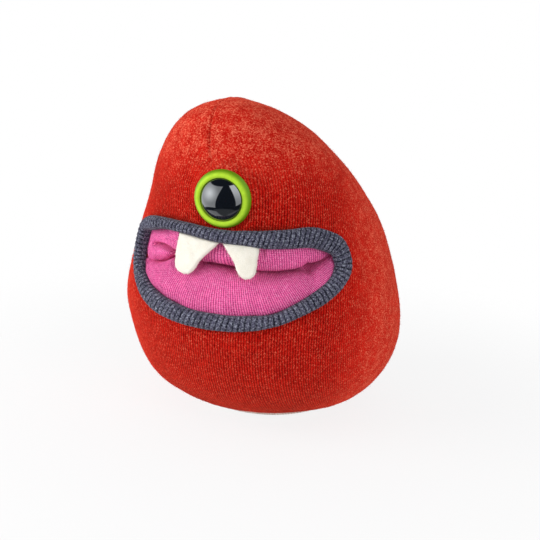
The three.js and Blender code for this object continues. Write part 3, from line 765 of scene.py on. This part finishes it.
flat = mouth_outline(LIP_STEPS)
flat_run = np.roll(flat, -3, 0) - np.roll(flat, 3, 0)
flat_out = np.stack([flat_run[:, 1], -flat_run[:, 0]], -1)
flat = flat + unit(flat_out) * round_trip(LIP_SHIFT, LIP_STEPS)[:, None]
lip_angle, lip_along = mouth_angle(flat[:, 0]), along_at(MOUTH_HEIGHT + flat[:, 1])
lip_line = place(lip_angle, lip_along)
lip_out = outward(lip_angle, lip_along)
lip_run = unit(np.roll(lip_line, -8, 0) - np.roll(lip_line, 8, 0))
lip_across = unit(np.cross(lip_run, lip_out))
proud = LIP_PROUD - LIP_LEFT_SINK * smooth(-flat[:, :1], 45, 66)
step_long = np.linalg.norm(np.roll(lip_line, -1, 0) - lip_line, axis=1).mean()
lip_half = round_trip(LIP_HALF, LIP_STEPS)
lip_lean = round_trip(LIP_LEAN, LIP_STEPS)
turn = np.arange(LIP_AROUND) * 2 * math.pi / LIP_AROUND
round_part, high_part = (np.sign(part) * np.abs(part) ** LIP_ROUNDNESS
                         for part in (np.cos(turn), np.sin(turn)))
lip_sign = np.sign(lip_across[LIP_STEPS // 4, 2])
rib = np.arange(LIP_STEPS)[:, None] / RIB_STEPS
leant = rib * RIB_STEPS + lip_sign * (lip_half * lip_lean)[:, None] * round_part / step_long
rib_sway = 0.075 * ripple(lip_line, 11, 9)[:, None] * round_part


def beside(values):
    """Values of the lip's line at the leant places, round the closed line."""
    low = np.floor(leant).astype(int)
    part = (leant - low)[..., None]
    return values[low % LIP_STEPS] * (1 - part) + values[(low + 1) % LIP_STEPS] * part


ridge = np.abs(np.cos(math.pi * (rib + rib_sway))) ** 0.9
swell = (1 + 0.03 * ripple(lip_line, 17, 8))[:, None]
wide = (lip_half[:, None] * swell - 0.1 * RIB_DEPTH * (1 - ridge)) * round_part
high = (LIP_THICK / 2 * swell - RIB_DEPTH * (1 - ridge)) * high_part
middle = lip_line + lip_out * proud
lip_grid = beside(middle) + wide[..., None] * beside(lip_across)
lip_grid = lip_grid + high[..., None] * beside(lip_out)
lip_grid = np.concatenate([lip_grid, lip_grid[:1]], 0)
rib_u = rib + rib_sway
rib_u = np.concatenate([rib_u, rib_u[:1] + LIP_RIBS])
rib_u = np.concatenate([rib_u, rib_u[:, :1]], 1) + 0.5
rib_v = np.broadcast_to(np.arange(LIP_AROUND + 1) * LIP_COURSES, rib_u.shape)
lip_mesh = grid_mesh("lip", lip_grid, wrap=True, knit=np.stack([rib_u, rib_v], -1))
lip = new_object("lip", lip_mesh, rib_knit)
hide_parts("lip_trim")
lip_normals = grid_normals(lip_grid, wrap=True)
sign = np.sign(((lip_grid[:-1] - middle[:, None]) * lip_normals[:-1]).sum(-1).mean())
lip_fuzz = fibres("lip_fuzz", lip_grid, lip_normals * sign, 5000, rib_fluff, 1.1, 0.06, 0.6,
                  wrap=True)


# Pocket linings

UPPER, LOWER = 1, -1
HALF_MOUTH = MOUTH_WIDTH / 2 + 0.3
LINING_COLS, LINING_ROWS = 600, 130
PINK_PITCH, PINK_COURSE = {UPPER: 1.42, LOWER: 0.98}, 1.08
PINK_RELIEF, FOLD_DEPTH, FOLD_SIZE = 0.3, 0.4, 17
# The crease between the sheets, laid flat: its height, how far it gapes and how it is tucked
CREASE_X = [-66, -60, -51, -44, -38, -35.5, -27, -19, -16, -12, -4.5, 4.5, 11.5, 19, 29, 39,
            49.5, 58.5, 62, 66]
CREASE_Z = [104, 102, 103.2, 105.9, 109.3, 110.4, 109.8, 108.2, 107.7, 108.3, 108.1, 107.5,
            106.7, 105.9, 106.0, 107.3, 109.2, 112.6, 114.6, 116.0]
GAPE_X = [-66, -46, -40, -36, -22, -20, -17.5, -15.5, -8, 40, 45, 49, 51.5, 55.5, 66]
GAPE = [-0.7, -0.6, 0.0, 0.6, 0.8, 3.4, 2.8, 0.9, 0.8, 0.9, 1.5, 4.8, 2.8, 1.0, -0.5]
TUCK_X = [-66, -57, -52, -46, 52, 58, 62, 66]
TUCK = [0.05, 0.6, 1, 1, 1, 1, 0.5, 0.05]
# A second pleat above the crease's left end
PLEAT_X = [-60, -57, -48, -40.5, -36]
PLEAT_Z = [112.7, 113.3, 114.0, 113.1, 111.3]
PLEAT_DEPTH, PLEAT_WIDE, PLEAT_PUFF = 6.5, 1.0, 1.8
# How far each sheet swells and how deep it lies
BULGE = {UPPER: 2.4, LOWER: 5.5}
DEEP = {UPPER: 3.5, LOWER: 2.6}
# At the left end: how much deeper, the hollows under the lip, and how far it runs on beneath
LEFT_DEEP, UPPER_HOLLOW, LOWER_HOLLOW, END_UNDER, END_TURN = 1.2, 3.0, 5.0, 10, 6
UPPER_FALL, POCKET_DEEP, POCKET_END = 1.8, 40, 20
# Room for the roots of lifted fangs
FANGS_FROM, FANGS_TO, FANG_ROOM = -31, 22, 3.9


def curve_rows(knots, values, spots):
    """Rows of values at spots, on smooth curves through the rows that stand at the knots."""
    values = np.stack(values)
    slope = np.gradient(values, knots, axis=0)
    i = np.clip(np.searchsorted(knots, spots, side="right") - 1, 0, len(knots) - 2)
    width = (knots[i + 1] - knots[i])[:, None]
    t = (spots - knots[i])[:, None] / width
    ends = (2 * t ** 3 - 3 * t ** 2 + 1) * values[i] + (3 * t ** 2 - 2 * t ** 3) * values[i + 1]
    return ends + width * ((t ** 3 - 2 * t ** 2 + t) * slope[i] + (t ** 3 - t ** 2) * slope[i + 1])


def lining_points(side):
    """One sheet of the pocket, from under the lip over its swell to the crease and back inside."""
    x = np.linspace(-HALF_MOUTH, HALF_MOUTH, LINING_COLS)
    share = np.abs(x) / (HALF_MOUTH + 0.2)
    rim = MOUTH_HEIGHT + mouth_edge(x, -0.8, side)
    low, high = (MOUTH_HEIGHT + mouth_edge(x, 1.2, edge) for edge in (LOWER, UPPER))
    crease = np.clip(np.interp(x, CREASE_X, CREASE_Z), low, high)
    lips = crease + side * np.interp(x, GAPE_X, GAPE) / 2
    tall = rim - lips
    tuck = np.interp(x, TUCK_X, TUCK)
    swell = BULGE[side] * np.clip(1 - share ** 2.6, 0, 1) ** 0.5
    if side == UPPER:
        near_end = 1 - smooth(-x, 52, 63)
        hollow = UPPER_HOLLOW * (1 - smooth(-x, 58, 66)) * smooth(-x, 20, 58)
        fall = UPPER_FALL * near_end
        room = smooth(x, FANGS_FROM - 2, FANGS_FROM) * (1 - smooth(x, FANGS_TO, FANGS_TO + 2))
        room = FANG_ROOM * room
    else:
        near_end, fall, room = 1, 0, 0
        hollow = LOWER_HOLLOW * smooth(-x, 20, 58)
    deep = DEEP[side] + LEFT_DEEP * smooth(-x, 40, 62) * near_end
    # Share of the way in, depth behind the body's surface, and height
    profile = [
        (0.0, 2.7 + room, rim + side * 0.4),
        (0.05, deep + 1.0 + hollow + room, rim - side * 0.9),
        (0.22, deep + 0.6 * room - 0.55 * swell + 0.35 * hollow + 0.2 * fall, lips + 0.80 * tall),
        (0.38, deep + 0.3 * room - swell + 0.4 * fall, lips + 0.55 * tall),
        (0.54, deep - 0.88 * swell + 0.7 * fall, lips + 0.32 * tall),
        (0.68, deep - 0.5 * swell + 0.3 * tuck + fall, lips + 0.14 * tall),
        (0.80, deep - 0.1 * swell * (1 - tuck) + 1.9 * tuck + fall, lips + 0.04 * tall),
        (0.88, deep + 0.6 + 8.0 * tuck, lips),
        (0.94, deep + 14, crease + side * 0.03),
        (1.0, np.interp(share, [0, 1], [POCKET_DEEP, POCKET_END]), crease + side * 0.03),
    ]
    knots, depths, heights = zip(*profile)
    spots = np.linspace(0, 1, LINING_ROWS)
    depths = [np.broadcast_to(row, x.shape) for row in depths]
    depth, z = (curve_rows(np.array(knots), rows, spots) for rows in (depths, heights))
    if side == UPPER:
        shown = smooth(-x, 34.5, 39) * (1 - smooth(-x, 55, 61))
        shown = shown * (1 - smooth(spots, 0.8, 0.86))[:, None]
        pleat = np.interp(x, PLEAT_X, PLEAT_Z)
        depth = depth + shown * PLEAT_DEPTH * bump(z - pleat, PLEAT_WIDE)
        across = (z - (pleat + crease) / 2) / np.maximum(pleat - crease, 2)
        depth = depth - shown * PLEAT_PUFF * bump(across, 0.42)
    under = END_UNDER * smooth(-x, HALF_MOUTH - END_TURN, HALF_MOUTH)
    angle = np.broadcast_to(mouth_angle(x - under), depth.shape)
    turn = np.radians(angle)
    level = np.stack([np.sin(turn), -np.cos(turn), np.zeros_like(turn)], -1)
    down = np.clip(side * (z - crease), 0, None)
    # The wales spread above the crease's middle, and downwards on the lower sheet
    if side == UPPER:
        wale = (x + 3) / (1 + 0.045 * np.clip(15 - down, 0, None) * bump(x + 3, 15))
    else:
        wale = x / (1 + 0.017 * down)
    return place(angle, along_at(z)) - level * depth[..., None], wale / PINK_PITCH[side], spots


for side, name, node in ((UPPER, "lining_upper", "mouth_lining_upper"),
                         (LOWER, "lining_lower", "mouth_lining_lower")):
    points, wale, spots = lining_points(side)
    out = grid_normals(points)
    out = out * -np.sign(out[35:70, :, 1].sum(-1).mean())
    ridge = np.abs(np.sin(math.pi * wale)) ** 0.6
    calm = 1 - 0.75 * smooth(spots, 0.5, 0.75)[:, None]
    folds = FOLD_DEPTH * ripple(points, FOLD_SIZE, 21 + side) * calm
    inner = points + out * (PINK_RELIEF * (ridge - 1) + folds)[..., None]
    far = np.cumsum(length_of(np.diff(points, axis=0)), 0)
    far = np.concatenate([np.zeros((1, LINING_COLS)), far])
    knit_at = np.stack([wale, far / PINK_COURSE], -1)
    sheet = new_object(name, grid_mesh(name, inner, knit=knit_at), pink_knit)
    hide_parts(node)
    fuzz = fibres(name + "_fuzz", inner[4:105], out[4:105], 6000, pink_fluff, 1.1, 0.06, 0.4)


def curve_through(points, steps=10):
    """A smooth line through points, with more points between them."""
    points = np.array(points, float)
    before, after = 2 * points[0] - points[1], 2 * points[-1] - points[-2]
    ends = np.concatenate([[before], points, [after]])
    t = np.arange(steps)[:, None] / steps
    line = [smooth_between(t, *four) for four in zip(ends, ends[1:], ends[2:], ends[3:])]
    return np.concatenate(line + [points[-1:]])


# Fangs of thick felt, hinged along the sewn edge

# Each fang's outline from the middle of its sewn edge, from the inner corner round the tip
LEFT_FANG = [(10.7, 2.6), (7.7, -2.0), (4.7, -6.1), (2.5, -9.7), (1.5, -12.8), (0.3, -15.9),
             (-1.7, -18.0), (-4.6, -18.8), (-7.6, -18.5), (-9.9, -17.4), (-11.7, -15.4),
             (-12.8, -12.4), (-13.7, -8.4), (-14.4, -3.4), (-14.8, 2.6)]
RIGHT_FANG = [(-9.2, 2.6), (-6.6, -1.7), (-4.2, -5.5), (-2.4, -8.9), (-0.9, -12.9), (0.8, -15.6),
              (2.4, -16.8), (4.4, -17.2), (6.4, -16.8), (8.1, -15.5), (9.1, -13.4), (9.7, -9.6),
              (10.1, -6.1), (10.7, -2.6), (11.1, 2.6)]
FANG_AROUND, FANG_RINGS = 160, 26
# Half the felt's thickness at its edge, how it swells further in, waves, is ragged and curls
FELT_HALF, FELT_SWELL, FELT_SWELL_OVER, FELT_WAVE, FELT_RAGGED = 1.5, 0.35, 4, 0.16, 0.13
SIDE_CURL, TIP_CURL = 0.9, 1.1


def fang(name, node, body, side, shape, spot, along_edge, up):
    outline = curve_through(shape)
    width, length = np.ptp(outline[:, 0]), -outline[:, 1].min()
    top = np.linspace(outline[-1], outline[0], 30)
    outline = resampled(np.vstack([outline[:-1], top]), FANG_AROUND)
    ragged = FELT_RAGGED * ripple(np.pad(outline, ((0, 0), (0, 1))), 2.6, 31 + side, 1)
    outline = outline * (1 + ragged[:, None] / 14)
    centre = outline.mean(0) * [1, 0.8]
    spread = length_of(outline - centre)
    rings = 1 - (1 - np.linspace(0.03, 1, FANG_RINGS)) ** 1.6
    flat_points = centre + rings[:, None, None] * (outline - centre)
    edge_far = (1 - rings)[:, None] * spread
    thick = 1 - (1 - np.clip(edge_far / FELT_HALF, 0, 1)) ** 2
    thick = FELT_HALF * np.sqrt(np.clip(thick, 0, 1))
    thick = thick + FELT_SWELL * (1 - np.exp(-edge_far / FELT_SWELL_OVER))
    aside = flat_points[..., 0] / (width / 2)
    down = np.clip(-flat_points[..., 1], 0, None) / length
    curl = -SIDE_CURL * aside ** 2 + TIP_CURL * down ** 2
    wave = FELT_WAVE * ripple(np.pad(flat_points, ((0, 0), (0, 0), (0, 1))), 6, 41 + side)
    front = np.dstack([flat_points, curl + thick + wave])
    rear = np.dstack([flat_points, curl - thick + wave])
    rings = np.concatenate([front, rear[::-1][1:]], 0)
    out = np.cross(along_edge, up)
    world = spot + rings[..., :1] * along_edge + rings[..., 1:2] * up + rings[..., 2:] * out
    mesh = grid_mesh(name, world, wrap=True, pole=world[-1].mean(0))
    thing = new_object(name, mesh, fang_felt, body)
    make_closed(thing)
    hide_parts(node)
    normals = grid_normals(world, wrap=True)
    normals = normals * np.sign(((world - world.mean((0, 1))) * normals).sum(-1).mean())
    fuzz = fibres(name + "_fuzz", world, normals, 3500, fang_fluff, 1.1, 0.07, 0.9, body=body,
                  wrap=True)


def make_closed(thing):
    """Caps any open ring and turns every face outwards."""
    made = bmesh.new()
    made.from_mesh(thing.data)
    bmesh.ops.holes_fill(made, edges=[e for e in made.edges if e.is_boundary], sides=0)
    bmesh.ops.recalc_face_normals(made, faces=made.faces)
    made.to_mesh(thing.data)
    made.free()
    thing.data.shade_smooth()


fang("fang_left", "tooth_left", "left_fang", -1, LEFT_FANG, np.array([-8.79, -97.99, 120.97]),
     np.array([0.9891, -0.1048, -0.1033]), np.array([0.1265, 0.2471, 0.9607]))
fang("fang_right", "tooth_right", "right_fang", 1, RIGHT_FANG, np.array([13.89, -96.84, 120.62]),
     np.array([0.9738, 0.2074, 0.0932]), np.array([-0.1464, 0.2584, 0.9549]))


# Eye

def lathe(name, profile, material, sides=128):
    """A solid turned round the eye's axis from pairs of a radius and a height."""
    profile = np.array(profile, float)
    turns = np.linspace(0, 2 * math.pi, sides, endpoint=False)
    side_x = unit(np.cross(EYE_AXIS, [0, 0, 1]))
    side_z = np.cross(side_x, EYE_AXIS)
    ring = np.cos(turns)[:, None] * side_x + np.sin(turns)[:, None] * side_z
    points = EYE_SPOT + profile[:, None, :1] * ring + profile[:, None, 1:] * EYE_AXIS
    thing = new_object(name, grid_mesh(name, points, wrap=True), material)
    make_closed(thing)
    return thing


RING_INNER, RING_BACK = PUPIL_RADIUS + 0.1, 2.2
SHANK_HOLE, SHANK, SHANK_END = 3.3, 3, -9.0
PUPIL_FOOT, DOME_FOOT, DOME_HEIGHT, DOME_STEPS = 2.5, 4.0, 6.2, 60

# The ring's raised section: how far each point lies inside the rim, and its height
section = [(0.9, 0.0), (0.2, 0.3), (0, 1.0), (0.1, 1.9), (0.5, 2.9), (1.2, 3.8), (2.1, 4.35),
           (3.0, 4.55)]
section = [(RING_RADIUS - inside, height) for inside, height in section]
section += [(RING_INNER + 0.5, 4.4), (RING_INNER + 0.1, 4.2), (RING_INNER, 3.9)]
profile = [(SHANK_HOLE, 0), (10, 0), (14, 0)] + curve_through(section, 6).tolist()
profile += [(RING_INNER, RING_BACK), (8, RING_BACK), (SHANK_HOLE, RING_BACK)]
ring = lathe("ring", profile, lime, 160)
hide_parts("eye_iris")

profile = [(0.02, SHANK_END), (SHANK - 0.4, SHANK_END), (SHANK, SHANK_END + 0.6),
           (SHANK, PUPIL_FOOT), (PUPIL_RADIUS - 0.3, PUPIL_FOOT),
           (PUPIL_RADIUS, PUPIL_FOOT + 0.3), (PUPIL_RADIUS, 3.8)]
dome = (PUPIL_RADIUS ** 2 + DOME_HEIGHT ** 2) / (2 * DOME_HEIGHT)
dome_low = math.asin((dome - DOME_HEIGHT) / dome)
for rise in np.linspace(dome_low, math.radians(89.7), DOME_STEPS):
    profile.append((dome * math.cos(rise), DOME_FOOT + DOME_HEIGHT - dome + dome * math.sin(rise)))
pupil = lathe("pupil", profile, black)
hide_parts("eye_pupil")

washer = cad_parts["eye_washer"]
washer.data.materials.clear()
washer.data.materials.append(white_plastic)


# Filling behind the cover

FILLING_SINK, FILLING_VOXEL, FILLING_SMOOTH = 7.0, 4 * MM, 3
filling_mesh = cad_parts["stuffing"].data.copy()
filling_mesh.materials.clear()
filling = new_object("filling", filling_mesh, filling_wool)
remesh = filling.modifiers.new("fleece", "REMESH")
remesh.mode = "VOXEL"
remesh.voxel_size = FILLING_VOXEL
filling.modifiers.new("soften", "SMOOTH").iterations = FILLING_SMOOTH
bpy.context.view_layer.update()
evaluated = filling.evaluated_get(bpy.context.evaluated_depsgraph_get())
settled = bpy.data.meshes.new_from_object(evaluated)
filling.modifiers.clear()
filling.data = settled
spots = np.array([v.co[:] for v in settled.vertices]) / MM
spine_x, spine_y = spine_at(spots[:, 2])
turn = np.arctan2(spots[:, 0] - spine_x, spine_y - spots[:, 1])
within = smooth(-mouth_distance(np.degrees(turn), spots[:, 2]), -16, -8) * FILLING_SINK
spots[:, 0] -= np.sin(turn) * within
spots[:, 1] += np.cos(turn) * within
settled.vertices.foreach_set("co", (spots * MM).astype(np.float32).ravel())
settled.update()
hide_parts("stuffing")


# Floor, light and camera

FLOOR_RADIUS, FLOOR_DROP = 0.45, 0.0004
FLOOR_GLOW, CLEAR_FROM, CLEAR_TO = 0.83, 0.12, 0.42


def floor_material():
    """Near white where it is seen, with the shadow kept, and clear further out."""
    g = Graph("floor")
    g.finish(srgb(246, 246, 246), Specular_IOR_Level=0.0)
    path = g.node("LightPath")
    share = g.times(path.outputs["Is Camera Ray"], FLOOR_GLOW)
    seen = g.blend(share, g.shader.outputs[0], g.node("Emission").outputs[0])
    far = g.span(g.vector("LENGTH", g.spot()), CLEAR_FROM, CLEAR_TO)
    clear = g.node("BsdfTransparent").outputs[0]
    g.put(g.output.inputs[0], g.blend(far, seen, clear))
    return g.material


bpy.ops.mesh.primitive_circle_add(vertices=96, radius=FLOOR_RADIUS, fill_type="NGON",
                                  location=(0, 0, -FLOOR_DROP))
floor = bpy.context.object
floor.name = "floor"
floor.data.materials.append(floor_material())
floor.visible_glossy = False

# Windows that only gloss shows. Each row is an edge: shares of turn and rise, and where in their
# sum, in degrees, the light starts and is full
LEFT_WINDOW = [(1, -0.37, -14, -17), (1, 0, -123, -119), (0.175, 1, -46.7, -44.5),
               (-0.143, 1, 52.5, 48.5)]
RIGHT_WINDOW = [(1, 0.35, 62, 65), (-0.55, 1, -72.5, -69.5), (0, 1, 58, 54)]
LOW_LEFT = [(0.33, 1, -66.5, -70), (1, 0, -36, -41)]
LOW_RIGHT = [(-0.78, 1, -116.5, -120), (1, 0, 50, 58)]
LOW_BETWEEN = [(0, 1, -44, -50)]
# The left window's brightest spot, and its size
GLOW_TURN, GLOW_RISE, GLOW_WIDE, GLOW_HIGH = -53, 12, 34, 26
GLOSS_LIGHT, SKY_LIGHT = 0.03, 0.5


def studio_world():
    """White where the camera sees it, soft light on cloth, and large pale windows in gloss."""
    world = bpy.data.worlds.new("studio")
    scene.world = world
    world.use_nodes = True
    g = Nodes(world.node_tree)
    x, y, z = g.split(g.node("TexCoord").outputs["Generated"])
    turn = g.math("DEGREES", g.math("ARCTAN2", x, g.times(y, -1.0)))
    rise = g.math("DEGREES", g.math("ARCSINE", z))

    def window(edges, light):
        for turn_share, rise_share, dark, bright in edges:
            across = g.math("MULTIPLY_ADD", turn, turn_share, g.times(rise, rise_share))
            light = g.times(g.span(across, dark, bright), light)
        return light

    aside = g.math("DIVIDE", g.math("SUBTRACT", turn, GLOW_TURN), GLOW_WIDE)
    above = g.math("DIVIDE", g.math("SUBTRACT", rise, GLOW_RISE), GLOW_HIGH)
    far = g.math("ADD", g.math("POWER", aside, 2.0), g.math("POWER", above, 2.0))
    left = window(LEFT_WINDOW, g.span(g.math("SQRT", far), -0.3, 1.5, 5.0, 1.4))
    right = window(RIGHT_WINDOW, g.span(rise, -20.0, 40.0, 1.5, 3.4))
    low = g.math("ADD", window(LOW_LEFT, 0.8), window(LOW_RIGHT, 0.4))
    low = g.math("MAXIMUM", low, window(LOW_BETWEEN, 0.16))
    pale = g.math("ADD", g.math("ADD", left, right), low)

    def background(colour, strength):
        return g.node("Background", colour, strength).outputs[0]

    path = g.node("LightPath").outputs
    gloss = background((0.93, 0.97, 1, 1), g.math("ADD", pale, GLOSS_LIGHT))
    light = g.blend(path["Is Glossy Ray"], background((0.95, 0.97, 1, 1), SKY_LIGHT), gloss)
    seen = g.blend(path["Is Camera Ray"], light, background(WHITE, 1.0))
    g.node("OutputWorld", seen)


studio_world()

BODY_MIDDLE, BODY_LOW = (0, -0.05, 0.11), (0, -0.03, 0.09)
LENS, CAMERA_ROLL = 50, 3.055


def softbox(name, spot, aim, size, power):
    lamp = bpy.data.lights.new(name, "AREA")
    lamp.size = size
    lamp.energy = power
    box = add_object(name, lamp)
    box.location = spot
    box.rotation_euler = (Vector(spot) - Vector(aim)).to_track_quat("Z", "Y").to_euler()
    box.visible_glossy = False


softbox("key", (-0.79, -0.66, 0.33), BODY_MIDDLE, 0.7, 9.6)
softbox("left", (-0.95, 0.15, 0.12), BODY_LOW, 0.5, 1.8)
softbox("side", (0.8, -0.65, 0.35), BODY_MIDDLE, 0.6, 4.6)

camera_data = bpy.data.cameras.new("camera")
camera_data.lens, camera_data.sensor_width = LENS, 36
camera_data.clip_start, camera_data.clip_end = 0.01, 20
camera = add_object("camera", camera_data)
camera.location = Vector((165.075, -466.423, 201.246)) * MM
back = camera.location - Vector((2.871, -14.796, 90.508)) * MM
roll = Quaternion((0, 0, 1), math.radians(CAMERA_ROLL))
camera.rotation_mode = "QUATERNION"
camera.rotation_quaternion = back.to_track_quat("Z", "Y") @ roll
scene.camera = camera
scene.view_settings.view_transform = "Standard"
